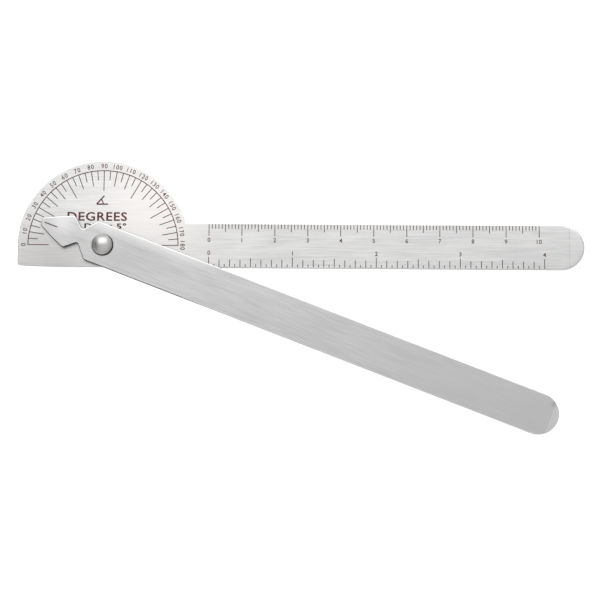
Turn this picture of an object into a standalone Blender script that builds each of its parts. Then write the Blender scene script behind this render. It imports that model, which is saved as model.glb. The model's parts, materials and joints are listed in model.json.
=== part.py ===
"""A small-joint goniometer: a half-round protractor blade with a ruled arm and a riveted pointer arm.

The frame's origin is on the pivot's axis, at the flat end of the rivet on which the instrument lies.
+X runs along the ruled arm, +Y towards the top of the dial and +Z up through the domed rivet head.
"""

import math

import bmesh
import bpy
from mathutils import Vector

MM = 0.001

# Driving dimensions of the two stamped blades
SHEET = 1.0 * MM
HEAD_RADIUS = 26.0 * MM
RULER_REACH = 146.0 * MM  # from the pivot to the round end
RULER_TOP = 7.0 * MM  # from the pivot's axis to the centimetre edge
RULER_BOTTOM = 6.7 * MM  # and to the inch edge, which runs on along the head
HEEL_HEIGHT = 6.3 * MM  # the inch edge is polished back a little at the head's corner
HEEL_LENGTH = 11.0 * MM
HEEL_ROUND = 120.0 * MM
HEAD_CORNER_ROUND = 0.8 * MM
HEAD_FILLET = 0.6 * MM  # where the dial's rim runs into the ruled arm
POINTER_REACH = 147.0 * MM
POINTER_ARM_WIDTH = 12.6 * MM
OPENING_ANGLE = math.radians(20.8)  # clockwise from the ruled arm, as the dial reads it
EDGE_ROUND = 0.12 * MM

# The arrow head of the pointer arm: how far from the pivot, how far off the arm's axis, and how round
NOSE = (19.9 * MM, 1.1 * MM, 0.9 * MM)
FLANK = (15.5 * MM, 3.35 * MM, 20.0 * MM)
BARB = (11.0 * MM, 5.2 * MM, 1.0 * MM)
WAIST = (7.35 * MM, 2.05 * MM, 0.7 * MM)
HUB = (3.7 * MM, POINTER_ARM_WIDTH / 2, 1.2 * MM)

# The riveted pivot
SHANK_RADIUS = 1.5 * MM
SHANK_CLEARANCE = 0.06 * MM
DOME_RADIUS = 3.05 * MM
DOME_HEIGHT = 1.5 * MM
DOME_RIM = 0.35 * MM
TAIL_RADIUS = 2.3 * MM
TAIL_FLAT_RADIUS = 1.5 * MM
TAIL_HEIGHT = 0.8 * MM
BACK_WASHER_RADIUS = 3.3 * MM
BACK_WASHER_THICKNESS = 0.4 * MM
WAVE_WASHER_RADIUS = 3.0 * MM
WAVE_STRIP = 0.2 * MM
WAVE_HEIGHT = 0.2 * MM  # from the middle of a trough to the middle of a crest
WAVE_COUNT = 3
FRICTION_WASHER_RADIUS = 3.6 * MM
FRICTION_WASHER_THICKNESS = 0.25 * MM

FACE_GAP = 0.1 * MM  # between flat faces that press on each other

# Levels of the pivot's stack, from the end of the rivet upwards
BACK_WASHER_Z = TAIL_HEIGHT + FACE_GAP
WAVE_WASHER_Z = BACK_WASHER_Z + BACK_WASHER_THICKNESS + FACE_GAP
PROTRACTOR_Z = WAVE_WASHER_Z + WAVE_STRIP + WAVE_HEIGHT + FACE_GAP
FRICTION_WASHER_Z = PROTRACTOR_Z + SHEET + FACE_GAP
POINTER_ARM_Z = FRICTION_WASHER_Z + FRICTION_WASHER_THICKNESS + FACE_GAP
DOME_Z = POINTER_ARM_Z + SHEET + FACE_GAP

HOLE_RADIUS = SHANK_RADIUS + SHANK_CLEARANCE
ROUND_STEPS = 64  # segments of a full turn on the pivot's round pieces
TAIL_STEPS = 6
CHORD_ERROR = 0.006 * MM  # how far a chord of the outlines may lie inside its arc
WELD = 0.000001


def clear_scene():
    for obj in list(bpy.data.objects):
        bpy.data.objects.remove(obj)


def new_collection(name):
    collection = bpy.data.collections.new(name)
    bpy.context.scene.collection.children.link(collection)
    return collection


def new_material(name, colour, roughness, metallic):
    material = bpy.data.materials.new(name)
    material.use_nodes = True
    shader = material.node_tree.nodes["Principled BSDF"]
    shader.inputs["Base Color"].default_value = (*colour, 1.0)
    shader.inputs["Roughness"].default_value = roughness
    shader.inputs["Metallic"].default_value = metallic
    material.diffuse_color = (*colour, 1.0)
    return material


def place(name, data, collection, material, height=0.0, parent=None):
    """Puts a mesh or curve in the scene as one named piece, with its origin on the pivot's axis."""
    obj = bpy.data.objects.new(name, data)
    obj.location.z = height
    obj.parent = parent
    data.materials.append(material)
    collection.objects.link(obj)
    return obj


def arc(centre, radius, start, end):
    """Points on an arc, ends included; angles are in radians, anticlockwise from +X."""
    steps = math.ceil(abs(end - start) / (2 * math.acos(1 - CHORD_ERROR / radius)))
    angles = (start + (end - start) * step / steps for step in range(steps + 1))
    return [centre + radius * Vector((math.cos(angle), math.sin(angle))) for angle in angles]


def rounded_corner(before, corner, after, radius):
    """The arc of that radius which touches both sides of a corner."""
    to_before = (before - corner).normalized()
    to_after = (after - corner).normalized()
    half_angle = to_before.angle(to_after) / 2
    bisector = (to_before + to_after).normalized()
    centre = corner + bisector * (radius / math.sin(half_angle))
    first = corner + to_before * (radius / math.tan(half_angle)) - centre
    last = corner + to_after * (radius / math.tan(half_angle)) - centre
    start = math.atan2(first.y, first.x)
    sweep = first.angle_signed(last)  # clockwise is positive here
    return arc(centre, radius, start, start - sweep)


def rounded_outline(corners):
    """A closed outline through (x, y, radius) corners; a corner of no radius stays a point."""
    places = [Vector((x, y)) for x, y, _ in corners]
    outline = []
    for index, (_, _, radius) in enumerate(corners):
        before = places[index - 1]
        after = places[(index + 1) % len(places)]
        if radius:
            outline += rounded_corner(before, places[index], after, radius)
        else:
            outline.append(places[index])
    # two corners of a fully round end share the point between them
    return [point for index, point in enumerate(outline) if (point - outline[index - 1]).length > WELD]


def circle(radius):
    angles = (2 * math.pi * step / ROUND_STEPS for step in range(ROUND_STEPS))
    return [radius * Vector((math.cos(angle), math.sin(angle))) for angle in angles]


def blade(name, outline, collection, material, height, parent=None):
    """A stamped sheet: a flat filled curve with the rivet's hole, SHEET thick, with its edges eased."""
    curve = bpy.data.curves.new(name, "CURVE")
    curve.dimensions = "2D"
    curve.fill_mode = "BOTH"
    curve.extrude = SHEET / 2
    for loop in (outline, circle(HOLE_RADIUS)):
        spline = curve.splines.new("POLY")
        spline.points.add(len(loop) - 1)
        for point, position in zip(spline.points, loop):
            point.co = (position.x, position.y, 0.0, 1.0)
        spline.use_cyclic_u = True
    obj = place(name, curve, collection, material, height + SHEET / 2, parent)
    weld = obj.modifiers.new("Weld caps", "WELD")
    weld.merge_threshold = WELD
    bevel = obj.modifiers.new("Eased edges", "BEVEL")
    bevel.width = EDGE_ROUND
    bevel.segments = 2
    bevel.limit_method = "ANGLE"
    bevel.angle_limit = math.radians(60)
    return obj


def turned(name, profile, collection, material, height=0.0, closed=False):
    """A piece turned about the pivot's axis from (radius, height) points that run down its outer side."""
    mesh = bpy.data.meshes.new(name)
    edges = [(i, i + 1) for i in range(len(profile) - 1)]
    if closed:
        edges.append((len(profile) - 1, 0))
    mesh.from_pydata([(radius, 0.0, z) for radius, z in profile], edges, [])
    obj = place(name, mesh, collection, material, height)
    screw = obj.modifiers.new("Turn", "SCREW")
    screw.axis = "Z"
    screw.steps = ROUND_STEPS
    screw.render_steps = ROUND_STEPS
    screw.use_merge_vertices = True
    screw.merge_threshold = WELD
    screw.use_smooth_shade = True
    return obj


def protractor_outline():
    """The half-round head, the strip below its base line and the ruled arm, in one outline."""
    end_round = (RULER_TOP + RULER_BOTTOM) / 2
    meet_angle = math.asin(RULER_TOP / HEAD_RADIUS)  # where the head's arc meets the ruled arm
    past_fillet = meet_angle + HEAD_FILLET / HEAD_RADIUS
    head = arc(Vector((0.0, 0.0)), HEAD_RADIUS, past_fillet, math.pi)
    sides = rounded_outline(
        [
            (head[-1].x, head[-1].y, 0.0),
            (-HEAD_RADIUS, -HEEL_HEIGHT, HEAD_CORNER_ROUND),
            (-HEAD_RADIUS + HEEL_LENGTH, -RULER_BOTTOM, HEEL_ROUND),
            (RULER_REACH, -RULER_BOTTOM, end_round),
            (RULER_REACH, RULER_TOP, end_round),
            (HEAD_RADIUS * math.cos(meet_angle), RULER_TOP, HEAD_FILLET),
            (head[0].x, head[0].y, 0.0),
        ]
    )
    return sides + head[1:-1]


def pointer_arm_outline():
    """The arrow head with its waist, the hub over the rivet and the long round-ended arm."""
    half = POINTER_ARM_WIDTH / 2
    upper = [(-reach, off_axis, round_) for reach, off_axis, round_ in (HUB, WAIST, BARB, FLANK, NOSE)]
    lower = [(x, -y, round_) for x, y, round_ in reversed(upper)]
    end = [(POINTER_REACH, -half, half), (POINTER_REACH, half, half)]
    return rounded_outline(upper + lower + end)


def dome_profile():
    """The snap head's outline, from its crown down to the rim."""
    cap_radius = (DOME_RADIUS**2 + DOME_HEIGHT**2) / (2 * DOME_HEIGHT)
    centre = Vector((0.0, DOME_Z + DOME_RIM + DOME_HEIGHT - cap_radius))
    rim_angle = math.acos(DOME_RADIUS / cap_radius)
    crown = arc(centre, cap_radius, math.pi / 2, rim_angle)
    return [(0.0, crown[0].y)] + [(point.x, point.y) for point in crown[1:]] + [(DOME_RADIUS, DOME_Z)]


def tail_profile():
    """The end hammered over the back washer, from its shoulder down to the flat that the part lies on."""
    shoulder = TAIL_RADIUS - TAIL_FLAT_RADIUS
    points = []
    for step in range(TAIL_STEPS + 1):
        angle = math.pi / 2 * step / TAIL_STEPS
        points.append((TAIL_FLAT_RADIUS + shoulder * math.cos(angle), TAIL_HEIGHT * (1 - math.sin(angle))))
    return points + [(0.0, 0.0)]


def add_pivot_rivet(collection, material):
    shank = [(SHANK_RADIUS, DOME_Z), (SHANK_RADIUS, TAIL_HEIGHT)]
    return turned("pivot_rivet", dome_profile() + shank + tail_profile(), collection, material)


def add_washer(name, radius, thickness, height, collection, material):
    """A flat washer with small chamfers on its outer edges."""
    chamfer = thickness / 4
    profile = [
        (radius - chamfer, thickness),
        (radius, thickness - chamfer),
        (radius, chamfer),
        (radius - chamfer, 0.0),
        (HOLE_RADIUS, 0.0),
        (HOLE_RADIUS, thickness),
    ]
    return turned(name, profile, collection, material, height, closed=True)


def add_wave_washer(collection, material):
    """A spring washer: a flat ring spun from one edge, waved WAVE_COUNT times round and thickened."""
    ring = bmesh.new()
    inner = ring.verts.new((HOLE_RADIUS + 0.1 * MM, 0.0, 0.0))
    outer = ring.verts.new((WAVE_WASHER_RADIUS, 0.0, 0.0))
    edge = ring.edges.new((inner, outer))
    bmesh.ops.spin(
        ring,
        geom=[inner, outer, edge],
        cent=(0.0, 0.0, 0.0),
        axis=(0.0, 0.0, 1.0),
        angle=2 * math.pi,
        steps=ROUND_STEPS,
        use_merge=True,
    )
    bmesh.ops.remove_doubles(ring, verts=ring.verts, dist=WELD)
    for vert in ring.verts:
        around = math.atan2(vert.co.y, vert.co.x)
        vert.co.z = WAVE_HEIGHT / 2 * math.cos(WAVE_COUNT * around)
    bmesh.ops.recalc_face_normals(ring, faces=ring.faces)
    mesh = bpy.data.meshes.new("wave_washer")
    ring.to_mesh(mesh)
    ring.free()
    mesh.shade_smooth()
    middle = WAVE_WASHER_Z + (WAVE_STRIP + WAVE_HEIGHT) / 2
    obj = place("wave_washer", mesh, collection, material, middle)
    solidify = obj.modifiers.new("Strip", "SOLIDIFY")
    solidify.thickness = WAVE_STRIP
    solidify.offset = 0.0
    return obj


def build():
    clear_scene()
    parts = new_collection("goniometer")

    satin_steel = new_material("satin stainless steel", (0.68, 0.68, 0.67), 0.38, 1.0)
    polished_steel = new_material("polished stainless steel", (0.72, 0.72, 0.71), 0.18, 1.0)
    spring_steel = new_material("spring steel", (0.42, 0.42, 0.43), 0.35, 1.0)
    nylon = new_material("natural nylon", (0.86, 0.84, 0.78), 0.5, 0.0)

    pivot = bpy.data.objects.new("pivot", None)
    pivot.rotation_euler.z = -OPENING_ANGLE
    parts.objects.link(pivot)

    blade("protractor_blade", protractor_outline(), parts, satin_steel, PROTRACTOR_Z)
    blade("pointer_arm", pointer_arm_outline(), parts, satin_steel, POINTER_ARM_Z, pivot)
    add_pivot_rivet(parts, polished_steel)
    add_washer(
        "friction_washer", FRICTION_WASHER_RADIUS, FRICTION_WASHER_THICKNESS, FRICTION_WASHER_Z, parts, nylon
    )
    add_wave_washer(parts, spring_steel)
    add_washer(
        "back_washer", BACK_WASHER_RADIUS, BACK_WASHER_THICKNESS, BACK_WASHER_Z, parts, polished_steel
    )


build()
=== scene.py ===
import json
import math

import bmesh
import bpy
from mathutils import Euler, Matrix, Vector
from mathutils.geometry import delaunay_2d_cdt

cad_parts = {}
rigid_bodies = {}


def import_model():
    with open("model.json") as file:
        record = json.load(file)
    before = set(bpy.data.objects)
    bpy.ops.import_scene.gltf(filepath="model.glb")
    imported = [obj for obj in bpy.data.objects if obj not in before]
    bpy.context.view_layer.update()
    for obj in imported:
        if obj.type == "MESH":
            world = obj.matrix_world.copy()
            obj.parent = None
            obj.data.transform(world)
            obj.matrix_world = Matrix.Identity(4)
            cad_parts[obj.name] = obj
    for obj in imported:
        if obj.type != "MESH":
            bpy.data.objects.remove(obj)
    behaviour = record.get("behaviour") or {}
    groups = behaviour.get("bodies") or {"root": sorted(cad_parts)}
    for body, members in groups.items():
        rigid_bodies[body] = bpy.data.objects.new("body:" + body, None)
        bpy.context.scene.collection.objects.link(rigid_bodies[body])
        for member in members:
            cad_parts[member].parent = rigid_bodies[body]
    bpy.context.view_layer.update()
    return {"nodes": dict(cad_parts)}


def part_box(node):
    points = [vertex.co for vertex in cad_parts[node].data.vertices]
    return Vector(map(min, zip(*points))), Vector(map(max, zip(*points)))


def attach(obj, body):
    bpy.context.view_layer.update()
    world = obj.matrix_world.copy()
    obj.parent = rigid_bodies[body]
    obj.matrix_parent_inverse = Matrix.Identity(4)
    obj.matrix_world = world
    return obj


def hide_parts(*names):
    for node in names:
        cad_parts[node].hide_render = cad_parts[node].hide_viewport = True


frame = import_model()
mm = 0.001  # shapes are drawn in millimetres and brought to metres when a mesh is finished
print("frame loaded:", ", ".join(sorted(frame["nodes"])))


def linearColour(hexCode):
    # sRGB hex to the linear values that shaders take
    parts = [int(hexCode[i:i + 2], 16) / 255 for i in (1, 3, 5)]
    return tuple(p / 12.92 if p <= 0.04045 else ((p + 0.055) / 1.055) ** 2.4 for p in parts) + (1.0,)


def addNode(tree, kind, inputs=None, **settings):
    # settings first, because they decide which sockets a node has; where names repeat, inputs go by
    # number: on a Mix node 0 is the share, 2 and 3 its two numbers, and 6 and 7 its two colours
    node = tree.nodes.new(kind)
    for name, value in settings.items():
        setattr(node, name, value)
    for key, value in (inputs or {}).items():
        if isinstance(value, bpy.types.NodeSocket):
            tree.links.new(value, node.inputs[key])
        else:
            node.inputs[key].default_value = value
    return node


def addPiece(name, mesh, body, material=None):
    if material:
        mesh.materials.append(material)
    piece = bpy.data.objects.new(name, mesh)
    bpy.context.scene.collection.objects.link(piece)
    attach(piece, body)
    return piece


def levels(node):
    # lowest and highest point of a CAD node, in mm
    low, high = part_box(node)
    return low.z / mm, high.z / mm


def startMaterial(name):
    # a new material, its tree, and the place on the piece, in metres
    material = bpy.data.materials.new(name)
    material.use_nodes = True
    tree = material.node_tree
    tree.nodes.clear()
    return material, tree, addNode(tree, "ShaderNodeTexCoord").outputs["Object"]


def closeMaterial(tree, shader):
    addNode(tree, "ShaderNodeOutputMaterial", {"Surface": shader.outputs["BSDF"]})


def latheRings(tree, place, look):
    # noise drawn out round the pivot into turning marks, with the flat place and the radius it is made from
    flat = addNode(tree, "ShaderNodeVectorMath", {0: place, 1: (1, 1, 0)}, operation="MULTIPLY").outputs[0]
    radius = addNode(tree, "ShaderNodeVectorMath", {0: flat}, operation="LENGTH").outputs["Value"]
    around = addNode(tree, "ShaderNodeVectorMath", {0: flat}, operation="NORMALIZE")
    around = addNode(tree, "ShaderNodeVectorMath", {
        0: around.outputs[0], 1: (look["ringBreaks"], look["ringBreaks"], 0),
    }, operation="MULTIPLY")
    outward = addNode(tree, "ShaderNodeMath", {
        0: radius, 1: 1 / (look["ringMark"] * mm),
    }, operation="MULTIPLY")
    outward = addNode(tree, "ShaderNodeCombineXYZ", {"Z": outward.outputs[0]})
    ringPlace = addNode(tree, "ShaderNodeVectorMath", {
        0: around.outputs[0], 1: outward.outputs[0],
    }, operation="ADD")
    rings = addNode(tree, "ShaderNodeTexNoise", {
        "Vector": ringPlace.outputs[0], "Scale": 1.0, "Detail": 2.0, "Roughness": look["noiseRough"],
    }).outputs["Fac"]
    return flat, radius, rings


def brushedStainless(name, brushAngle, look, lightAndShadePatches, rivetShadow=None):
    # AISI 304 sheet, blanked, belt brushed along the arm and deburred: a soft sheen that stretches
    # across the brush lines, fine streaks along them, brighter rubbed edges and dull dark cut walls; on top
    # of these, painted light and shade: patches, a painted highlight on the high side and painted shade on
    # the walls near the pivot, and a painted shadow round the rivet head
    material, tree, place = startMaterial(name)
    acrossBrush = (-math.sin(brushAngle), math.cos(brushAngle), 0)

    def streaks(size, detail):
        turned = addNode(tree, "ShaderNodeMapping", {
            "Vector": place, "Rotation": (0, 0, brushAngle), "Scale": [s * mm for s in size],
        }, vector_type="TEXTURE")
        return addNode(tree, "ShaderNodeTexNoise", {
            "Vector": turned.outputs[0], "Scale": 1.0, "Detail": detail, "Roughness": look["noiseRough"],
        }).outputs["Fac"]

    fine = streaks(look["fineStreak"], 3.0)
    broad = streaks(look["broadStreak"], 2.0)
    cloud = streaks(look["cloud"], 1.5)

    # turning marks round the rivet, left by the tool that closed it
    flat, radius, rings = latheRings(tree, place, look)
    nearPivot = addNode(tree, "ShaderNodeMapRange", {
        "Value": radius, "From Min": look["ringInner"] * mm, "From Max": look["ringOuter"] * mm,
        "To Min": look["ringStrength"], "To Max": 0.0,
    }, interpolation_type="SMOOTHSTEP")
    grain = addNode(tree, "ShaderNodeMix", {0: nearPivot.outputs[0], 2: fine, 3: rings}).outputs[0]

    wear = addNode(tree, "ShaderNodeAttribute", attribute_name="edgeWear").outputs["Fac"]
    cut = addNode(tree, "ShaderNodeAttribute", attribute_name="cutWall").outputs["Fac"]

    # tone: light and dark brushed steel, drawn out by the streaks and the soft clouds
    mottle = addNode(tree, "ShaderNodeMix", {0: look["cloudShare"], 2: broad, 3: cloud})
    mottle = addNode(tree, "ShaderNodeMix", {0: look["grainShare"], 2: mottle.outputs[0], 3: grain})
    tone = addNode(tree, "ShaderNodeMapRange", {
        "Value": mottle.outputs[0], "From Min": look["mottleLow"], "From Max": look["mottleHigh"],
    })
    colour = addNode(tree, "ShaderNodeMix", {
        0: tone.outputs[0], 6: linearColour(look["darkSteel"]), 7: linearColour(look["lightSteel"]),
    }, data_type="RGBA")
    # patches of painted light and shade: each lightens or darkens the steel where light pools or shade falls
    for centre, spread, tint, strength in lightAndShadePatches:
        centre = Matrix.Rotation(brushAngle, 3, "Z") @ Vector(centre) * mm
        away = addNode(tree, "ShaderNodeVectorMath", {0: place, 1: centre}, operation="DISTANCE")
        amount = addNode(tree, "ShaderNodeMapRange", {
            "Value": away.outputs["Value"], "From Max": spread * mm, "To Min": strength, "To Max": 0.0,
        }, interpolation_type="SMOOTHSTEP")
        colour = addNode(tree, "ShaderNodeMix", {
            0: amount.outputs[0], 6: colour.outputs[2], 7: linearColour(tint),
        }, data_type="RGBA")

    # a painted highlight: near the pivot the high side is painted lighter, where the light catches that edge
    sideways = addNode(tree, "ShaderNodeVectorMath", {
        0: place, 1: acrossBrush,
    }, operation="DOT_PRODUCT").outputs["Value"]
    nearDial = addNode(tree, "ShaderNodeMapRange", {
        "Value": radius, "From Min": look["dialInner"] * mm, "From Max": look["dialOuter"] * mm,
        "To Min": 1.0, "To Max": 0.0,
    }, interpolation_type="SMOOTHSTEP").outputs[0]
    highSideHighlight = addNode(tree, "ShaderNodeMapRange", {
        "Value": sideways, "From Min": look["sheenFrom"] * mm, "From Max": look["sheenTo"] * mm,
        "To Max": look["highSideSheen"],
    })
    paintedSheen = addNode(tree, "ShaderNodeMath", {0: nearDial, 1: highSideHighlight.outputs[0]}, operation="MULTIPLY")
    colour = addNode(tree, "ShaderNodeMix", {
        0: paintedSheen.outputs[0], 6: colour.outputs[2], 7: linearColour(look["sheenSteel"]),
    }, data_type="RGBA")
    colour = addNode(tree, "ShaderNodeMix", {
        0: wear, 6: colour.outputs[2], 7: linearColour(look["rubbedSteel"]),
    }, data_type="RGBA")

    # a painted shade on the cut walls: near the pivot they take the shade colour, and on the low side, where
    # the pointer's shadow falls, it reaches far up the rounded edge
    lowSideShade = addNode(tree, "ShaderNodeMapRange", {
        "Value": sideways, "From Min": -look["shadeBand"] * mm, "From Max": 0.0,
        "To Min": look["shadeSpread"], "To Max": 0.0,
    })
    paintedShade = addNode(tree, "ShaderNodeMath", {0: nearDial, 1: lowSideShade.outputs[0]}, operation="MULTIPLY")
    cutStart = addNode(tree, "ShaderNodeMapRange", {
        "Value": paintedShade.outputs[0], "To Min": look["cleanStart"], "To Max": look["shadedStart"],
    }).outputs[0]
    cutEnd = addNode(tree, "ShaderNodeMath", {
        0: cutStart, 1: 1 - look["cutBlend"], 2: look["cutBlend"],
    }, operation="MULTIPLY_ADD").outputs[0]
    cut = addNode(tree, "ShaderNodeMapRange", {
        "Value": cut, "From Min": cutStart, "From Max": cutEnd,
    }).outputs[0]
    wall = addNode(tree, "ShaderNodeMix", {
        0: nearDial, 6: linearColour(look["cutSteel"]), 7: linearColour(look["shadedCut"]),
    }, data_type="RGBA")
    colour = addNode(tree, "ShaderNodeMix", {
        0: cut, 6: colour.outputs[2], 7: wall.outputs[2],
    }, data_type="RGBA")

    if rivetShadow:  # a painted contact shadow close round the rivet head, heavier on one side
        away = addNode(tree, "ShaderNodeVectorMath", {
            0: flat, 1: Vector(rivetShadow["centre"]) * mm,
        }, operation="DISTANCE")
        ragged = addNode(tree, "ShaderNodeMapRange", {
            "Value": rings, "To Min": -rivetShadow["ragged"] * mm, "To Max": rivetShadow["ragged"] * mm,
        })
        reach = addNode(tree, "ShaderNodeMath", {
            0: away.outputs["Value"], 1: ragged.outputs[0],
        }, operation="ADD")
        shadowRing = addNode(tree, "ShaderNodeMapRange", {
            "Value": reach.outputs[0],
            "From Min": rivetShadow["inner"] * mm, "From Max": rivetShadow["outer"] * mm,
            "To Min": rivetShadow["strength"], "To Max": 0.0,
        }, interpolation_type="SMOOTHSTEP")
        colour = addNode(tree, "ShaderNodeMix", {
            0: shadowRing.outputs[0], 6: colour.outputs[2], 7: linearColour(rivetShadow["colour"]),
        }, data_type="RGBA")

    rough = addNode(tree, "ShaderNodeMapRange", {
        "Value": grain, "From Min": look["grainLow"], "From Max": look["grainHigh"],
        "To Min": look["roughLow"], "To Max": look["roughHigh"],
    })
    rough = addNode(tree, "ShaderNodeMix", {0: wear, 2: rough.outputs[0], 3: look["rubbedRough"]})
    rough = addNode(tree, "ShaderNodeMix", {0: cut, 2: rough.outputs[0], 3: look["cutRough"]})
    bump = addNode(tree, "ShaderNodeBump", {
        "Height": grain, "Strength": look["bump"], "Distance": look["bumpHeight"] * mm,
    })

    # the sheen spreads across the brush lines, and turns with the piece
    tangent = addNode(tree, "ShaderNodeVectorTransform", {
        "Vector": acrossBrush,
    }, vector_type="VECTOR", convert_from="OBJECT", convert_to="WORLD")
    closeMaterial(tree, addNode(tree, "ShaderNodeBsdfPrincipled", {
        "Base Color": colour.outputs[2], "Metallic": 1.0, "Roughness": rough.outputs[0],
        "Anisotropic": look["anisotropic"], "Tangent": tangent.outputs[0], "Normal": bump.outputs[0],
    }))
    return material


def closePatterned(tree, pattern, look):
    # one pattern turns the colour, the gloss and the height of a surface together
    colour = addNode(tree, "ShaderNodeMix", {
        0: pattern, 6: linearColour(look["dark"]), 7: linearColour(look["light"]),
    }, data_type="RGBA")
    rough = addNode(tree, "ShaderNodeMapRange", {
        "Value": pattern, "From Min": 0.3, "From Max": 0.7,  # most of the noise lies between these
        "To Min": look["roughLow"], "To Max": look["roughHigh"],
    })
    bump = addNode(tree, "ShaderNodeBump", {
        "Height": pattern, "Strength": look["bump"], "Distance": look["bumpHeight"] * mm,
    })
    closeMaterial(tree, addNode(tree, "ShaderNodeBsdfPrincipled", {
        "Base Color": colour.outputs[2], "Roughness": rough.outputs[0], "Normal": bump.outputs[0],
        **look["shader"],
    }))


def polishedStainless(name, look):
    # turned and tumbled stainless: a clear highlight, a little broken by lathe rings and tumbling marks
    material, tree, place = startMaterial(name)
    rings = latheRings(tree, place, look)[2]
    tumbled = addNode(tree, "ShaderNodeTexNoise", {
        "Vector": place, "Scale": 1 / (look["tumbleMark"] * mm), "Detail": 3.0,
    })
    marks = addNode(tree, "ShaderNodeMix", {0: look["tumbleShare"], 2: rings, 3: tumbled.outputs["Fac"]})
    closePatterned(tree, marks.outputs[0], look)
    return material


def cloudedFinish(name, look):
    # a surface a little uneven in soft clouds, with no grain along it; each look says what it is
    material, tree, place = startMaterial(name)
    cloud = addNode(tree, "ShaderNodeTexNoise", {
        "Vector": place, "Scale": 1 / (look["cloud"] * mm), "Detail": look["detail"],
    })
    closePatterned(tree, cloud.outputs["Fac"], look)
    return material


openingAngle = math.radians(20.8)  # how far the pointer arm is turned from the ruled arm

# streak sizes are length, width and depth in mm; real brush lines are 0.02 to 0.05 mm wide, too fine
# to show on the whole instrument, so these are drawn coarser
steelLook = {
    "fineStreak": (9.0, 0.28, 2.0),
    "broadStreak": (34.0, 1.2, 6.0),
    "cloud": (26.0, 11.0, 8.0),
    "noiseRough": 0.6,
    "cloudShare": 0.5,
    "grainShare": 0.6,
    "mottleLow": 0.38,
    "mottleHigh": 0.62,
    "ringMark": 0.34,
    "ringBreaks": 1.4,  # the higher, the shorter the turning marks
    "ringInner": 3.0,
    "ringOuter": 7.5,
    "ringStrength": 0.75,
    "darkSteel": "#c7c7c7",
    "lightSteel": "#dcdcdb",
    "rubbedSteel": "#e8e8e8",
    "grainLow": 0.25,
    "grainHigh": 0.75,
    "roughLow": 0.3,
    "roughHigh": 0.4,
    "rubbedRough": 0.24,
    "dialInner": 27.0,  # the sheets ride over each other within this radius
    "dialOuter": 40.0,  # and the painted shade and highlight near the pivot have faded out here
    "sheenSteel": "#f0efef",
    # a painted highlight along the high side near the pivot: how strong, and over what band
    "highSideSheen": 0.0,
    "sheenFrom": 2.8,  # mm above the middle of the arm
    "sheenTo": 6.3,
    "cutSteel": "#757371",
    # painted shade: the colour of the cut walls near the pivot
    "shadedCut": "#7a7876",
    "shadeSpread": 0.0,  # how far the painted shade reaches over the low edge
    "shadeBand": 1.0,
    "cleanStart": 0.64,  # how far down the rounded edge the dull wall begins, clean and under the painted shade
    "shadedStart": 0.02,
    "cutBlend": 0.4,  # share of the rest of the edge over which it comes in
    "cutRough": 0.5,
    "anisotropic": 0.6,
    "bump": 0.25,
    "bumpHeight": 0.012,
}
# the pointer's steel is a darker copy of the ruled blade's, a painted shade; it alone carries the painted
# highlight along its high side and the dark painted shade on its walls near the pivot
pointerShadedLook = {
    **steelLook, "darkSteel": "#bbbbbb", "lightSteel": "#d0d0d0", "highSideSheen": 0.62,
    "shadedCut": "#110f0e", "shadeSpread": 1.0,
}
rivetLook = {
    "ringMark": 0.3, "ringBreaks": 1.0, "noiseRough": 0.5, "tumbleMark": 0.5, "tumbleShare": 0.5,
    "dark": "#bfbdbc", "light": "#dcdbd9", "roughLow": 0.3, "roughHigh": 0.46,
    "bump": 0.5, "bumpHeight": 0.006, "shader": {"Metallic": 1.0},
}
# hardened carbon steel strip, oil quenched: a warm dark grey, half dull, cloudy from tempering
springLook = {
    "cloud": 1.1, "detail": 4.0, "dark": "#6f6d6a", "light": "#9a9793", "roughLow": 0.28, "roughHigh": 0.46,
    "bump": 0.2, "bumpHeight": 0.01, "shader": {"Metallic": 1.0},
}
# stamped polyamide 6 sheet: milky, waxy, and a little yellow with age
nylonLook = {
    "cloud": 0.8, "detail": 3.0, "dark": "#d9d3c2", "light": "#ece8dc", "roughLow": 0.4, "roughHigh": 0.55,
    "bump": 0.15, "bumpHeight": 0.01, "shader": {"IOR": 1.53},
}
# enamel wiped into etched lines and baked: half dull, and lighter where it was wiped thinner
redEnamelLook = {
    "cloud": 0.9, "detail": 3.0, "dark": "#461916", "light": "#6d2a24", "roughLow": 0.42, "roughHigh": 0.62,
    "bump": 0.1, "bumpHeight": 0.005, "shader": {"IOR": 1.5},
}
darkEnamelLook = {**redEnamelLook, "dark": "#331613", "light": "#5b2a25"}
dialEnamelLook = {**redEnamelLook, "dark": "#3f1815", "light": "#672a24"}

# patches of painted light and shade, lighter where light pools and darker where shade falls, as under the
# pointer: centre along the brush lines, radius in mm, tint and strength
dialLightAndShade = [
    ((14, 10, 2), 28, "#f0ebe9", 0.62),
    ((-16, -9, 2), 22, "#b3b1af", 0.7),
]
pointerLightAndShade = [
    ((-14, 2.4, 4), 6, "#f0efef", 0.5),
    ((8, 0, 4), 16, "#acacac", 0.3),
    ((150, 0, 4), 110, "#c9c9c9", 0.8),
    ((144.3, 4.4, 4), 1.6, "#8e8e8e", 0.5),
]
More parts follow.
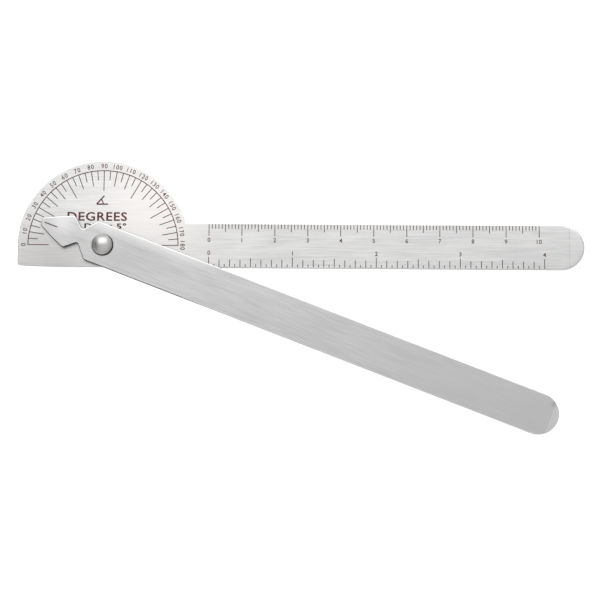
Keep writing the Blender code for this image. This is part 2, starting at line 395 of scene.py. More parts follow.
# a painted contact shadow round the rivet head, set a little towards the lower right where it falls
rivetPaintedShadow = {
    "centre": (0.1, -0.14, 0), "inner": 3.15, "outer": 3.5, "ragged": 0.1,
    "colour": "#14120f", "strength": 0.97,
}
rulerSteel = brushedStainless("brushed stainless steel, ruled blade", 0.0, steelLook, dialLightAndShade)
pointerSteel = brushedStainless("brushed stainless steel, pointer arm", -openingAngle, pointerShadedLook,
                                pointerLightAndShade, rivetPaintedShadow)
rivetSteel = polishedStainless("polished stainless steel", rivetLook)
springSteel = cloudedFinish("oil quenched spring steel", springLook)
nylon = cloudedFinish("natural nylon", nylonLook)
redPaint = cloudedFinish("red brown baked enamel", redEnamelLook)
darkPaint = cloudedFinish("dark brown baked enamel", darkEnamelLook)
dialPaint = cloudedFinish("brown baked enamel", dialEnamelLook)
print("materials made")


chordGap = 0.003  # mm between the middle of a chord and its arc
samePoint = 0.001  # mm; points nearer than this are one


def arcPoints(centre, radius, start, end):
    step = 2 * math.acos(1 - chordGap / radius)
    count = max(2, math.ceil(abs(end - start) / step))
    angles = [start + (end - start) * i / count for i in range(count + 1)]
    return [Vector((centre.x + radius * math.cos(a), centre.y + radius * math.sin(a))) for a in angles]


def roundCorner(before, corner, after, radius):
    toBefore = (before - corner).normalized()
    toAfter = (after - corner).normalized()
    half = toBefore.angle(toAfter) / 2
    centre = corner + (toBefore + toAfter).normalized() * (radius / math.sin(half))
    first = corner + toBefore * (radius / math.tan(half)) - centre
    last = corner + toAfter * (radius / math.tan(half)) - centre
    start = math.atan2(first.y, first.x)
    return arcPoints(centre, radius, start, start - first.angle_signed(last))


def roundedLoop(corners):
    # corners are (x, y, radius), anticlockwise; no radius leaves a point
    spots = [Vector((x, y)) for x, y, r in corners]
    loop = []
    for i, (x, y, r) in enumerate(corners):
        if r:
            loop += roundCorner(spots[i - 1], spots[i], spots[(i + 1) % len(spots)], r)
        else:
            loop.append(spots[i])
    return [p for i, p in enumerate(loop) if (p - loop[i - 1]).length > samePoint]


def inwardSteps(loop):
    # for each point, the way into the material that keeps both its sides parallel
    steps = []
    for i, point in enumerate(loop):
        into = (point - loop[i - 1]).normalized()
        out = (loop[(i + 1) % len(loop)] - point).normalized()
        a = Vector((into.y, -into.x))
        b = Vector((out.y, -out.x))
        steps.append(-(a + b) / (1 + a.dot(b)))
    return steps


edge = {
    "bottomRound": 0.12,
    "topRound": 0.28,  # the seen side is buffed more
    "bottomSteps": 2,
    "topSteps": 5,
    "flatMargin": 0.03,
    "creaseMargin": 0.05,  # between the lines across a face and its border
}


def edgeProfile(thickness):
    # (inward offset, height, how worn, how sheared) from the bottom face round to the top face
    low, high = edge["bottomRound"], edge["topRound"]
    profile = [(low + edge["flatMargin"], 0.0, 0.0, 0.0)]
    for i in range(edge["bottomSteps"] + 1):
        a = math.pi / 2 * i / edge["bottomSteps"]
        profile.append((low * (1 - math.sin(a)), low * (1 - math.cos(a)), 0.0, i / edge["bottomSteps"]))
    for i in range(edge["topSteps"] + 1):
        a = math.pi / 2 * i / edge["topSteps"]
        share = i / edge["topSteps"]
        profile.append((high * (1 - math.cos(a)), thickness - high * (1 - math.sin(a)), share, 1 - share))
    profile.append((high + edge["flatMargin"], thickness, 0.0, 0.0))
    return profile


def bladeMesh(name, outline, holeRadius, thickness, dub, creases):
    # the edge profile is lofted round the outline and the hole, and both faces are filled between them
    hole = arcPoints(Vector((0, 0)), holeRadius, 2 * math.pi, 0.0)[:-1]
    build = bmesh.new()
    wear = build.verts.layers.float.new("edgeWear")
    cut = build.verts.layers.float.new("cutWall")
    profile = edgeProfile(thickness)
    caps = ([], [])
    for loop in (outline, hole):
        steps = inwardSteps(loop)
        rings = []
        for offset, height, worn, sheared in profile:
            ring = []
            for point, step in zip(loop, steps):
                spot = point + step * offset
                lowered, rubbed, shadedCrease = dub(spot) if height > thickness / 2 else (0.0, 0.0, 0.0)
                vert = build.verts.new((spot.x, spot.y, height - lowered))
                vert[wear] = max(worn, rubbed)
                vert[cut] = max(sheared, shadedCrease)
                ring.append(vert)
            rings.append(ring)
        for lower, upper in zip(rings, rings[1:]):
            for i in range(len(loop)):
                j = (i + 1) % len(loop)
                build.faces.new((lower[i], lower[j], upper[j], upper[i]))
        caps[0].append(rings[0])
        caps[1].append(rings[-1])

    def addTopVert(spot):
        lowered, rubbed, shadedCrease = dub(spot)
        vert = build.verts.new((spot.x, spot.y, thickness - lowered))
        vert[wear] = rubbed
        vert[cut] = shadedCrease
        return vert

    for rings, up in zip(caps, (False, True)):
        verts = []
        sides = []
        for ring in rings:
            first = len(verts)
            verts += ring
            sides += [(first + i, first + (i + 1) % len(ring)) for i in range(len(ring))]
        spots = [v.co.xy for v in verts]
        if up:
            for line in creases:
                first = len(spots)
                spots += line
                sides += [(first + i, first + i + 1) for i in range(len(line) - 1)]
                verts += [addTopVert(spot) for spot in line]
        # output type 1 is the triangles inside the outline, and points within the last number merge
        found, _, faces, origins, _, _ = delaunay_2d_cdt(spots, sides, [], 1, 1e-5)
        corner = []
        for spot, origin in zip(found, origins):
            if origin:
                corner.append(verts[origin[0]])
            else:  # two creases cross here
                corner.append(addTopVert(spot))
        for face in faces:
            middle = sum((found[i] for i in face), Vector((0, 0))) / len(face)
            if middle.length < holeRadius:
                continue
            corners = [corner[i] for i in face]
            normal = (corners[1].co - corners[0].co).cross(corners[2].co - corners[0].co)
            build.faces.new(corners if (normal.z > 0) == up else corners[::-1])
    bmesh.ops.delete(build, geom=[v for v in build.verts if not v.link_faces], context="VERTS")
    mesh = bpy.data.meshes.new(name)
    build.to_mesh(mesh)
    build.free()
    mesh.shade_smooth()
    return mesh


def settle(mesh, height=0.0, turn=0.0):
    # puts a mesh drawn in mm at its height and angle, in metres
    mesh.transform(Matrix.Scale(mm, 4) @ Matrix.Rotation(turn, 4, "Z") @ Matrix.Translation((0, 0, height)))
    return mesh


dialBlade = {
    "headRadius": 26.0,
    "reach": 146.0,
    "top": 7.0,
    "bottom": 6.7,
    "heelHeight": 6.3,
    "heelLength": 11.0,
    "heelRound": 120.0,
    "cornerRound": 0.8,
    "fillet": 0.6,
    "holeRadius": 1.56,
    "crease": 4.6,  # how far from its tip the arm is set up a touch, to clear the skin
    "creaseRise": 0.016,  # as a slope
    "creaseHalf": 0.5,  # half the width of the bend
    # a painted shade along the bend
    "creaseShadeStrength": 0.73,
    "endRub": 0.12,
    "rimWidth": 0.95,  # the round end is dubbed off towards its rim
    "rimDrop": 0.16,
    "rimBlend": 2.0,  # the dubbing comes in over this length
}
pointerArm = {
    "reach": 147.0,
    "width": 12.6,
    "head": [(3.7, 6.3, 1.2), (7.35, 2.05, 0.7), (11.0, 5.2, 1.0), (15.5, 3.35, 20.0), (19.9, 1.1, 0.9)],
    "crease": 2.5,
    "creaseRise": 0.03,
    "creaseHalf": 0.2,
    "creaseShadeStrength": 0.0,
    "endRub": 0.3,
    "rimWidth": 0.4,
    "rimDrop": 0.02,
    "rimBlend": 2.0,
}


def dialOutline(size):
    meet = math.asin(size["top"] / size["headRadius"])
    rim = arcPoints(Vector((0, 0)), size["headRadius"], meet + size["fillet"] / size["headRadius"], math.pi)
    endRound = (size["top"] + size["bottom"]) / 2
    sides = roundedLoop([
        (rim[-1].x, rim[-1].y, 0),
        (-size["headRadius"], -size["heelHeight"], size["cornerRound"]),
        (-size["headRadius"] + size["heelLength"], -size["bottom"], size["heelRound"]),
        (size["reach"], -size["bottom"], endRound),
        (size["reach"], size["top"], endRound),
        (size["headRadius"] * math.cos(meet), size["top"], size["fillet"]),
        (rim[0].x, rim[0].y, 0),
    ])
    return sides + rim[1:-1]


def roundEnd(reach, top, bottom, size):
    # near an arm's round end: how far the top face is lowered, how rubbed it is and how much painted shade
    # lies along the bend, and the lines where it turns
    radius = (top + bottom) / 2
    centre = Vector((reach - radius, (top - bottom) / 2))
    inner = radius - size["rimWidth"]
    creaseX = reach - size["crease"]

    def dub(spot):
        lowered = -max(0.0, spot.x - creaseX) * size["creaseRise"]
        away = spot - centre
        beyond = (away.length - inner) / size["rimWidth"] if away.x > 0 else 0.0
        if beyond > 0:
            lowered += size["rimDrop"] * min(1.0, away.x / size["rimBlend"]) * beyond ** 2
        past = (spot.x - creaseX) / size["creaseHalf"]
        rubbed = size["endRub"] * min(1.0, max(0.0, past))
        # painted shade along the bend, carried in the cut wall attribute
        shadedCrease = size["creaseShadeStrength"] * max(0.0, 1.0 - abs(past))
        return lowered, rubbed, shadedCrease

    flatRadius = radius - edge["topRound"] - edge["flatMargin"] - edge["creaseMargin"]
    half = size["creaseHalf"]
    span = math.sqrt(flatRadius ** 2 - max(0.0, creaseX + half - centre.x) ** 2)
    parts = 16
    creases = [[Vector((x, centre.y + span * (2 * i / parts - 1))) for i in range(parts + 1)]
               for x in (creaseX - half, creaseX, creaseX + half)]
    sweep = math.pi * 0.49  # each way, just short of where the sides start
    for share in (0.0, 0.3, 0.55):  # of the rim's width
        rimRadius = inner + size["rimWidth"] * share
        if rimRadius < flatRadius:
            creases.append(arcPoints(centre, rimRadius, -sweep, sweep))
    return dub, creases


def pointerOutline(size):
    half = size["width"] / 2
    upper = [(-x, y, r) for x, y, r in size["head"]]
    lower = [(x, -y, r) for x, y, r in reversed(upper)]
    return roundedLoop(upper + lower + [(size["reach"], -half, half), (size["reach"], half, half)])


low, high = levels("protractor_blade")
dub, creases = roundEnd(dialBlade["reach"], dialBlade["top"], dialBlade["bottom"], dialBlade)
mesh = bladeMesh("dialBlade", dialOutline(dialBlade), dialBlade["holeRadius"], high - low, dub, creases)
blade = addPiece("dialBlade", settle(mesh, low), "protractor", rulerSteel)
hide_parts("protractor_blade")
bladeTop = high

low, high = levels("pointer_arm")
dub, creases = roundEnd(pointerArm["reach"], pointerArm["width"] / 2, pointerArm["width"] / 2, pointerArm)
mesh = bladeMesh("pointerArm", pointerOutline(pointerArm), dialBlade["holeRadius"], high - low, dub, creases)
arm = addPiece("pointerArm", settle(mesh, low, -openingAngle), "pointer", pointerSteel)
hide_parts("pointer_arm")
pointerTop = high
print("blades made:", len(blade.data.polygons), "and", len(arm.data.polygons), "faces")


pivotRivet = {
    "domeRadius": 3.05,
    "domeHeight": 1.5,
    "rimHeight": 0.35,
    "rimRound": 0.12,
    "shankRadius": 1.5,
    "tailRadius": 2.3,
    "tailFlat": 1.5,
    "tailHeight": 0.8,
    "domeSteps": 24,
    "rimSteps": 4,
    "tailSteps": 12,
    "turnSteps": 128,
    "sharpAngle": math.radians(32),
}


def rivetProfile(size, low, high):
    # (radius, height) from the crown down the outside to the flat end of the tail
    cap = (size["domeRadius"] ** 2 + size["domeHeight"] ** 2) / (2 * size["domeHeight"])
    steepest = math.asin(size["domeRadius"] / cap)
    profile = []
    for i in range(size["domeSteps"] + 1):
        a = steepest * i / size["domeSteps"]
        profile.append((cap * math.sin(a), high - cap * (1 - math.cos(a))))
    under = high - size["domeHeight"] - size["rimHeight"]
    small = size["rimRound"]
    for i in range(size["rimSteps"] + 1):
        a = math.pi / 2 * i / size["rimSteps"]
        profile.append((size["domeRadius"] - small * (1 - math.cos(a)), under + small * (1 - math.sin(a))))
    profile += [(size["shankRadius"], under), (size["shankRadius"], low + size["tailHeight"])]
    shoulder = size["tailRadius"] - size["tailFlat"]
    for i in range(size["tailSteps"] + 1):
        a = math.pi / 2 * i / size["tailSteps"]
        height = low + size["tailHeight"] * (1 - math.sin(a))
        profile.append((size["tailFlat"] + shoulder * math.cos(a), height))
    return profile + [(0.0, low)]


def turnedMesh(name, profile, steps, sharpAngle):
    # the profile turned round the pivot; a point on the axis is one vert for the whole ring
    build = bmesh.new()
    turns = [(math.cos(2 * math.pi * i / steps), math.sin(2 * math.pi * i / steps)) for i in range(steps)]
    rings = []
    for radius, height in profile:
        if radius < samePoint:
            rings.append([build.verts.new((0, 0, height))])
        else:
            rings.append([build.verts.new((radius * x, radius * y, height)) for x, y in turns])
    for upper, lower in zip(rings, rings[1:]):
        for i in range(steps):
            j = (i + 1) % steps
            corners = [ring[k % len(ring)] for ring, k in ((upper, i), (lower, i), (lower, j), (upper, j))]
            build.faces.new(list(dict.fromkeys(corners)))
    mesh = bpy.data.meshes.new(name)
    build.to_mesh(mesh)
    build.free()
    mesh.shade_smooth()
    mesh.set_sharp_from_angle(angle=sharpAngle)
    return mesh


low, high = levels("pivot_rivet")
profile = rivetProfile(pivotRivet, low, high)
mesh = turnedMesh("pivotRivet", profile, pivotRivet["turnSteps"], pivotRivet["sharpAngle"])
rivet = addPiece("pivotRivet", settle(mesh), "protractor", rivetSteel)
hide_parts("pivot_rivet")

# the washers' own shapes are right, so they only take a better finish
for node, material in (("friction_washer", nylon), ("wave_washer", springSteel), ("back_washer", rivetSteel)):
    washer = frame["nodes"][node]
    for materialSlot in washer.material_slots:
        materialSlot.material = material
print("pivot made")


film = 0.02  # paint thickness; a quarter of it is sunk in the steel
paintLevel = bladeTop + film / 4


def flatText(name, words, height, stretch, tracking, weight):
    # a thin closed slab of lettering, centred on its own origin, in metres; height is in mm
    curve = bpy.data.curves.new(name, "FONT")
    curve.body = words
    curve.space_character = tracking
    curve.offset = weight
    curve.resolution_u = 3
    curve.extrude = 0.5  # to each side, so that the film's own thickness is its scale
    holder = bpy.data.objects.new(name, curve)
    bpy.context.scene.collection.objects.link(holder)
    bpy.context.view_layer.update()
    mesh = bpy.data.meshes.new_from_object(holder.evaluated_get(bpy.context.evaluated_depsgraph_get()))
    bpy.data.objects.remove(holder)
    bpy.data.curves.remove(curve)
    xs = [v.co.x for v in mesh.vertices]
    ys = [v.co.y for v in mesh.vertices]
    scale = height * mm / (max(ys) - min(ys))
    middle = Vector(((max(xs) + min(xs)) / 2, (max(ys) + min(ys)) / 2, 0))
    mesh.transform(Matrix.Diagonal((scale * stretch, scale, film * mm, 1)) @ Matrix.Translation(-middle))
    build = bmesh.new()
    build.from_mesh(mesh)
    bmesh.ops.remove_doubles(build, verts=build.verts, dist=0.0001 * mm)
    bmesh.ops.recalc_face_normals(build, faces=build.faces)
    build.to_mesh(mesh)
    build.free()
    mesh.materials.clear()
    mesh.name = name
    return mesh


def numeralSet(name, labels, height, stretch, tracking, weight):
    # one object for each numeral, in the order of its name
    shelf = bpy.data.collections.new(name)
    for i, label in enumerate(labels):
        text = flatText(f"{name}{i:02d}", label, height, stretch, tracking, weight)
        shelf.objects.link(bpy.data.objects.new(f"{name}{i:02d}", text))
    return shelf


def newTree(name, sizes):
    # a node group whose named inputs are the entries of sizes
    tree = bpy.data.node_groups.new(name, "GeometryNodeTree")
    kinds = {float: "Float", int: "Int", bpy.types.Material: "Material", bpy.types.Collection: "Collection"}
    for label, value in sizes.items():
        tree.interface.new_socket(label, in_out="INPUT", socket_type="NodeSocket" + kinds[type(value)])
    tree.interface.new_socket("Geometry", in_out="OUTPUT", socket_type="NodeSocketGeometry")
    return tree, tree.nodes.new("NodeGroupInput").outputs


def closeTree(tree, parts, paint):
    joined = addNode(tree, "GeometryNodeJoinGeometry")
    for part in parts:
        tree.links.new(part, joined.inputs[0])
    solid = addNode(tree, "GeometryNodeRealizeInstances", {"Geometry": joined.outputs[0]})
    painted = addNode(tree, "GeometryNodeSetMaterial", {"Geometry": solid.outputs[0], "Material": paint})
    addNode(tree, "NodeGroupOutput", {"Geometry": painted.outputs[0]})


def growPiece(name, tree, sizes):
    # runs the tree once and keeps what it makes as a plain mesh
    holder = bpy.data.objects.new(name, bpy.data.meshes.new(name))
    modifier = holder.modifiers.new(name, "NODES")
    modifier.node_group = tree
    for item in tree.interface.items_tree:
        if item.in_out == "INPUT":
            modifier[item.identifier] = sizes[item.name]
    bpy.context.scene.collection.objects.link(holder)
    bpy.context.view_layer.update()
    mesh = bpy.data.meshes.new_from_object(holder.evaluated_get(bpy.context.evaluated_depsgraph_get()))
    holder.modifiers.clear()
    bpy.data.objects.remove(holder)
    mesh.name = name
    return mesh


def everyNth(tree, index, nth, usual, special):
    # the special value on every nth mark, and the usual one on the rest
    over = addNode(tree, "ShaderNodeMath", {0: index, 1: nth}, operation="MODULO")
    isNth = addNode(tree, "ShaderNodeMath", {0: over.outputs[0], 1: 0.5}, operation="LESS_THAN")
    return addNode(tree, "GeometryNodeSwitch", {
        "Switch": isNth.outputs[0], "False": usual, "True": special,
    }, input_type="FLOAT").outputs[0]


def layBars(tree, points, sides, turn=0.0):
    # a painted bar at each point; sides are its length along X, along Y and upwards
    bar = addNode(tree, "GeometryNodeMeshCube", {"Size": (1, 1, 1)})
    shape = addNode(tree, "ShaderNodeCombineXYZ", dict(zip("XYZ", sides)))
    return addNode(tree, "GeometryNodeInstanceOnPoints", {
        "Points": points, "Instance": bar.outputs[0], "Scale": shape.outputs[0],
        "Rotation": addNode(tree, "ShaderNodeCombineXYZ", {"Z": turn}).outputs[0],
    }).outputs[0]


def setNumerals(tree, points, numerals, index, turn=0.0):
    # at each point the numeral that has its number in the collection
    shelf = addNode(tree, "GeometryNodeCollectionInfo", {
        "Collection": numerals, "Separate Children": True, "Reset Children": True,
    })
    return addNode(tree, "GeometryNodeInstanceOnPoints", {
        "Points": points, "Instance": shelf.outputs[0], "Pick Instance": True, "Instance Index": index,
        "Rotation": addNode(tree, "ShaderNodeCombineXYZ", {"Z": turn}).outputs[0],
    }).outputs[0]


dialScale = {
    "Line radius": 22.86 * mm,
    "Line width": 0.27 * mm,
    "Line film": 0.92 * film * mm,  # a little under the marks, so that their faces don't share a plane
    "Line points": 181,
    "Level": paintLevel * mm,
    "Film": film * mm,
    "Marks": 37,
    "Step": math.radians(5),
    "Mark width": 0.25 * mm,
    "Short mark": 2.9 * mm,
    "Middle mark": 4.6 * mm,
    "Long mark": 6.3 * mm,
    "Middle every": 2.0,
    "Long every": 6.0,
    "Numerals at": 24.25 * mm,
    "Numeral count": 19,
    "Numeral step": math.radians(10),
    "Numerals": numeralSet("dialNumeral", [str(10 * i) for i in range(19)],
                           height=1.42, stretch=0.92, tracking=1.2, weight=0.012),
    "Paint": dialPaint,
}


def radialPoints(tree, size, index, count, step, radius):
    # points from 0 at the left, clockwise, and the angle that each stands at
    turned = addNode(tree, "ShaderNodeMath", {0: index, 1: step}, operation="MULTIPLY")
    angle = addNode(tree, "ShaderNodeMath", {
        0: math.pi, 1: turned.outputs[0],
    }, operation="SUBTRACT").outputs[0]
    outward = addNode(tree, "ShaderNodeCombineXYZ", {"X": radius, "Z": size["Level"]})
    place = addNode(tree, "ShaderNodeVectorRotate", {
        "Vector": outward.outputs[0], "Angle": angle,
    }, rotation_type="Z_AXIS")
    points = addNode(tree, "GeometryNodePoints", {"Count": count, "Position": place.outputs[0]})
    return points.outputs[0], angle


def dialTree():
    # a half circle line, its marks pointing inwards, and the numerals outside with their tops out
    tree, size = newTree("dial scale", dialScale)
    arc = addNode(tree, "GeometryNodeCurveArc", {
        "Resolution": size["Line points"], "Radius": size["Line radius"], "Start Angle": 0.0,
        "Sweep Angle": math.pi,
    }, mode="RADIUS")
    upright = addNode(tree, "GeometryNodeSetCurveNormal", {"Curve": arc.outputs[0]}, mode="Z_UP")
    section = addNode(tree, "GeometryNodeCurvePrimitiveQuadrilateral", {
        "Width": size["Line width"], "Height": size["Line film"],
    }, mode="RECTANGLE")
    line = addNode(tree, "GeometryNodeCurveToMesh", {
        "Curve": upright.outputs[0], "Profile Curve": section.outputs[0], "Fill Caps": True,
    })
    raised = addNode(tree, "GeometryNodeTransform", {
        "Geometry": line.outputs[0],
        "Translation": addNode(tree, "ShaderNodeCombineXYZ", {"Z": size["Level"]}).outputs[0],
    })

    index = addNode(tree, "GeometryNodeInputIndex").outputs[0]
    length = everyNth(tree, index, size["Middle every"], size["Short mark"], size["Middle mark"])
    length = everyNth(tree, index, size["Long every"], length, size["Long mark"])
    middle = addNode(tree, "ShaderNodeMath", {
        0: length, 1: -0.5, 2: size["Line radius"],
    }, operation="MULTIPLY_ADD")
    marks, turn = radialPoints(tree, size, index, size["Marks"], size["Step"], middle.outputs[0])
    bars = layBars(tree, marks, (length, size["Mark width"], size["Film"]), turn)

    spots, turn = radialPoints(tree, size, index, size["Numeral count"], size["Numeral step"],
                               size["Numerals at"])
    standing = addNode(tree, "ShaderNodeMath", {0: turn, 1: math.pi / 2}, operation="SUBTRACT")
    numerals = setNumerals(tree, spots, size["Numerals"], index, standing.outputs[0])
    closeTree(tree, [raised.outputs[0], bars, numerals], size["Paint"])
    return tree


inch = 25.4 * mm
centimetreScale = {
    "Zero": 32.24 * mm,
    "Edge": 6.62 * mm,
    "Inwards": -1.0,
    "Level": paintLevel * mm,
    "Film": film * mm,
    "Marks": 101,
    "Pitch": 1.0 * mm,
    "Mark width": 0.23 * mm,
    "Shortest": 1.45 * mm,
    "Short": 1.45 * mm,
    "Middle": 2.3 * mm,
    "Long": 3.55 * mm,
    "Short every": 1.0,
    "Middle every": 5.0,
    "Long every": 10.0,
    "Numeral count": 11,
    "Numeral pitch": 10.0 * mm,
    "Numerals in": 4.8 * mm,
    "Numerals": numeralSet("centimetreNumeral", [str(i) for i in range(11)],
                           height=1.32, stretch=0.98, tracking=1.1, weight=0.014),
    "Paint": darkPaint,
}
inchScale = {
    **centimetreScale,
    "Edge": -6.38 * mm,
    "Inwards": 1.0,
    "Marks": 65,
    "Pitch": inch / 16,
    "Shortest": 0.85 * mm,
    "Short": 2.2 * mm,
    "Middle": 2.65 * mm,
    "Long": 3.0 * mm,
    "Short every": 2.0,
    "Middle every": 8.0,
    "Long every": 16.0,
    "Numeral count": 5,
    "Numeral pitch": inch,
    "Numerals in": 4.25 * mm,
    "Numerals": numeralSet("inchNumeral", [str(i) for i in range(5)],
                           height=1.32, stretch=0.98, tracking=1.1, weight=0.014),
}


def ruleTree():
    # marks of four lengths from one edge inwards, with a numeral over every long one
    tree, size = newTree("straight scale", centimetreScale)
    index = addNode(tree, "GeometryNodeInputIndex").outputs[0]
    length = everyNth(tree, index, size["Short every"], size["Shortest"], size["Short"])
    length = everyNth(tree, index, size["Middle every"], length, size["Middle"])
    length = everyNth(tree, index, size["Long every"], length, size["Long"])

    def rowPoints(count, pitch, inwards):
        along = addNode(tree, "ShaderNodeMath", {
            0: index, 1: pitch, 2: size["Zero"],
        }, operation="MULTIPLY_ADD")
        inside = addNode(tree, "ShaderNodeMath", {
            0: size["Inwards"], 1: inwards, 2: size["Edge"],
        }, operation="MULTIPLY_ADD")
        place = addNode(tree, "ShaderNodeCombineXYZ", {
            "X": along.outputs[0], "Y": inside.outputs[0], "Z": size["Level"],
        })
        return addNode(tree, "GeometryNodePoints", {"Count": count, "Position": place.outputs[0]}).outputs[0]

    middle = addNode(tree, "ShaderNodeMath", {0: length, 1: 0.5}, operation="MULTIPLY")
    marks = rowPoints(size["Marks"], size["Pitch"], middle.outputs[0])
    bars = layBars(tree, marks, (size["Mark width"], length, size["Film"]))
    spots = rowPoints(size["Numeral count"], size["Numeral pitch"], size["Numerals in"])
    closeTree(tree, [bars, setNumerals(tree, spots, size["Numerals"], index)], size["Paint"])
    return tree


dialMesh = growPiece("dialScale", dialTree(), dialScale)
addPiece("dialScale", dialMesh, "protractor")
straightScale = ruleTree()
for name, sizes in (("centimetreScale", centimetreScale), ("inchScale", inchScale)):
    addPiece(name, growPiece(name, straightScale, sizes), "protractor")
for shelf in (dialScale["Numerals"], centimetreScale["Numerals"], inchScale["Numerals"]):
    for numeral in list(shelf.objects):
        bpy.data.objects.remove(numeral)
    bpy.data.collections.remove(shelf)
print("scales made:", len(dialMesh.polygons), "faces on the dial")


# height is that of the capitals, width that of the whole line
lettering = {
    "dialWord": {
        "words": "DEGREES", "x": -1.9, "y": 8.75, "height": 2.75, "width": 18.2,
        "tracking": 1.08, "weight": 0.02, "paint": redPaint,
    },
    "dialNote": {
        "words": "1 DIV = 5°", "x": -0.6, "y": 5.8, "height": 1.9, "width": 15.2,
        "tracking": 1.08, "weight": 0.03, "paint": darkPaint,
    },
}
for name, line in lettering.items():
    mesh = flatText(name, line["words"], line["height"], 1.0, line["tracking"], line["weight"])
    natural = (max(v.co.x for v in mesh.vertices) - min(v.co.x for v in mesh.vertices)) / mm
    mesh.transform(Matrix.Diagonal((line["width"] / natural, 1, 1, 1)))
    mesh.transform(Matrix.Translation((line["x"] * mm, line["y"] * mm, paintLevel * mm)))
    addPiece(name, mesh, "protractor", line["paint"])


def paintStroke(build, points, widths, level, thick):
    # a closed ribbon of paint along points, in mm; the widths may taper
    rows = []
    for i, point in enumerate(points):
        way = (points[min(i + 1, len(points) - 1)] - points[max(i - 1, 0)]).normalized()
        side = Vector((-way.y, way.x)) * widths[i] / 2
        corners = [(point - side, level - thick / 2), (point + side, level - thick / 2),
                   (point + side, level + thick / 2), (point - side, level + thick / 2)]
        rows.append([build.verts.new((p.x, p.y, z)) for p, z in corners])
    for a, b in zip(rows, rows[1:]):
        for i in range(4):
            build.faces.new((a[i], a[(i + 1) % 4], b[(i + 1) % 4], b[i]))
    build.faces.new(rows[0][::-1])
    build.faces.new(rows[-1])


def strokesMesh(name, strokes, level, thick):
    build = bmesh.new()
    for points, widths in strokes:
        paintStroke(build, [Vector(p) for p in points], widths, level, thick)
    bmesh.ops.recalc_face_normals(build, faces=build.faces)
    mesh = bpy.data.meshes.new(name)
    build.to_mesh(mesh)
    build.free()
    return mesh


# a plain angle sign: two sides and the arc between them
angleSign = {
    "x": -2.15, "y": 12.55, "side": 3.5, "rise": math.radians(48), "stroke": 0.42,
    "arc": 2.0, "arcStroke": 0.336,
}
corner = Vector((angleSign["x"], angleSign["y"]))
slant = Vector((math.cos(angleSign["rise"]), math.sin(angleSign["rise"])))
arc = arcPoints(corner, angleSign["arc"], 0.0, angleSign["rise"])
strokes = [
    ([corner, corner + Vector((angleSign["side"], 0))], [angleSign["stroke"]] * 2),
    ([corner, corner + slant * angleSign["side"]], [angleSign["stroke"]] * 2),
    (arc, [angleSign["arcStroke"]] * len(arc)),
]
mesh = strokesMesh("angleSign", strokes, paintLevel, film)
addPiece("angleSign", settle(mesh), "protractor", redPaint)

# the pointer's index line, cut with a graver: narrow where the tool went in and came out
indexLine = {"from": -19.0, "to": -14.5, "width": 0.34, "endWidth": 0.119, "taper": 0.5, "steps": 14}
points = []
widths = []
for i in range(indexLine["steps"] + 1):
    x = indexLine["from"] + (indexLine["to"] - indexLine["from"]) * i / indexLine["steps"]
    nearEnd = min(x - indexLine["from"], indexLine["to"] - x)
    full = min(1.0, nearEnd / indexLine["taper"])
    points.append((x, 0.0))
    widths.append(indexLine["endWidth"] + (indexLine["width"] - indexLine["endWidth"]) * full)
mesh = strokesMesh("indexLine", [(points, widths)], pointerTop + film / 4, film)
addPiece("indexLine", settle(mesh, 0.0, -openingAngle), "pointer", darkPaint)
print("lettering made")


# metres and watts
backSoftbox = {"place": (0.0, 0.33, 0.37), "aim": (0.02, 0.0, 0.0), "size": (0.75, 0.52), "power": 1.6}
light = bpy.data.lights.new("backSoftbox", "AREA")
light.shape = "RECTANGLE"
light.size, light.size_y = backSoftbox["size"]
light.energy = backSoftbox["power"]
box = bpy.data.objects.new("backSoftbox", light)
box.location = backSoftbox["place"]
facing = Vector(backSoftbox["aim"]) - Vector(backSoftbox["place"])
box.rotation_euler = facing.to_track_quat("-Z", "Y").to_euler()
bpy.context.scene.collection.objects.link(box)

# the room: light overhead, greyer towards the walls, dark on the left
roomLook = {
    "overhead": 0.72,
    "wall": 0.4,
    "darkSide": 0.11,
    "wallTop": 0.55,  # as the height of a look over its length
    "wallFoot": 0.1,
    "leftStart": -0.45,  # as its way to the right over its length
    "leftFull": -0.9,
}
world = bpy.data.worlds.new("studio room")
bpy.context.scene.world = world
world.use_nodes = True
room = world.node_tree
room.nodes.clear()
look = addNode(room, "ShaderNodeSeparateXYZ", {0: addNode(room, "ShaderNodeTexCoord").outputs["Generated"]})
upward = addNode(room, "ShaderNodeMapRange", {
    "Value": look.outputs["Z"], "From Min": roomLook["wallFoot"], "From Max": roomLook["wallTop"],
    "To Min": roomLook["wall"], "To Max": roomLook["overhead"],
}, interpolation_type="SMOOTHSTEP")
leftness = addNode(room, "ShaderNodeMapRange", {
    "Value": look.outputs["X"], "From Min": roomLook["leftFull"], "From Max": roomLook["leftStart"],
    "To Min": 1.0, "To Max": 0.0,
}, interpolation_type="SMOOTHSTEP")
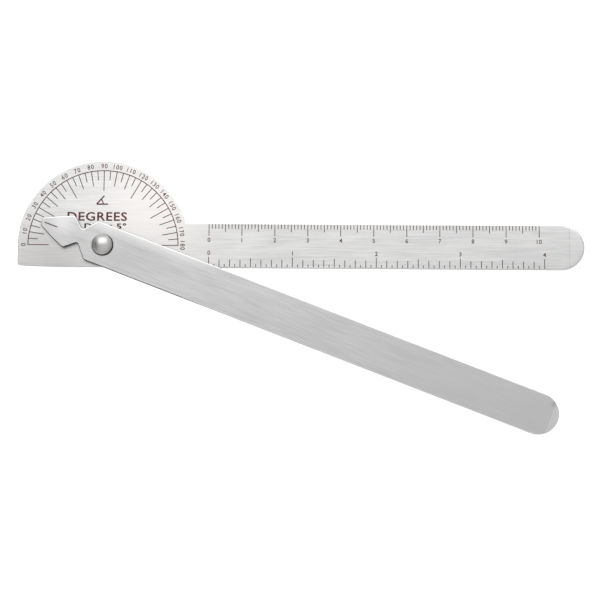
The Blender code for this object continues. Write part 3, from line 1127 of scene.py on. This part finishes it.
grey = addNode(room, "ShaderNodeMix", {
    0: leftness.outputs[0], 2: upward.outputs[0], 3: roomLook["darkSide"],
})
sky = addNode(room, "ShaderNodeBackground", {"Color": (1, 1, 1, 1), "Strength": grey.outputs[0]})
addNode(room, "ShaderNodeOutputWorld", {"Surface": sky.outputs[0]})

# a white acrylic light table under the instrument, which leaves no shadow
# half is half its side in metres, and grain is in mm
lightTable = {"half": 6.0, "grain": 2.5, "dark": "#f4f4f3", "light": "#fafaf9", "rough": 0.8, "glow": 0.6}
board, tree, place = startMaterial("lit white acrylic")
grain = addNode(tree, "ShaderNodeTexNoise", {
    "Vector": place, "Scale": 1 / (lightTable["grain"] * mm), "Detail": 3.0,
})
colour = addNode(tree, "ShaderNodeMix", {
    0: grain.outputs["Fac"], 6: linearColour(lightTable["dark"]), 7: linearColour(lightTable["light"]),
}, data_type="RGBA")
closeMaterial(tree, addNode(tree, "ShaderNodeBsdfPrincipled", {
    "Base Color": colour.outputs[2], "Roughness": lightTable["rough"],
    "Emission Color": (1, 1, 1, 1), "Emission Strength": lightTable["glow"],
}))
build = bmesh.new()
bmesh.ops.create_grid(build, x_segments=4, y_segments=4, size=lightTable["half"])
floorMesh = bpy.data.meshes.new("floor")
build.to_mesh(floorMesh)
build.free()
floorMesh.materials.append(board)
floor = bpy.data.objects.new("floor", floorMesh)
bpy.context.scene.collection.objects.link(floor)

view = {
    "lens": 94.19,
    "sensor": 36.0,
    "tilt": (5.0, 1.07, 0.51),  # degrees
    "place": (0.0599, -0.0167, 0.477),  # metres to the right, up and back, as the camera sees it
    "lift": 0.0029,  # height of the point that the camera is turned about
}
camera = bpy.data.objects.new("camera", bpy.data.cameras.new("camera"))
camera.data.sensor_width = view["sensor"]
camera.data.lens = view["lens"]
camera.data.clip_start = 0.01
camera.rotation_euler = Euler([math.radians(a) for a in view["tilt"]])
camera.location = camera.rotation_euler.to_matrix() @ Vector(view["place"]) + Vector((0, 0, view["lift"]))
bpy.context.scene.collection.objects.link(camera)
bpy.context.scene.camera = camera
bpy.context.scene.view_settings.view_transform = "Standard"
print("studio ready")
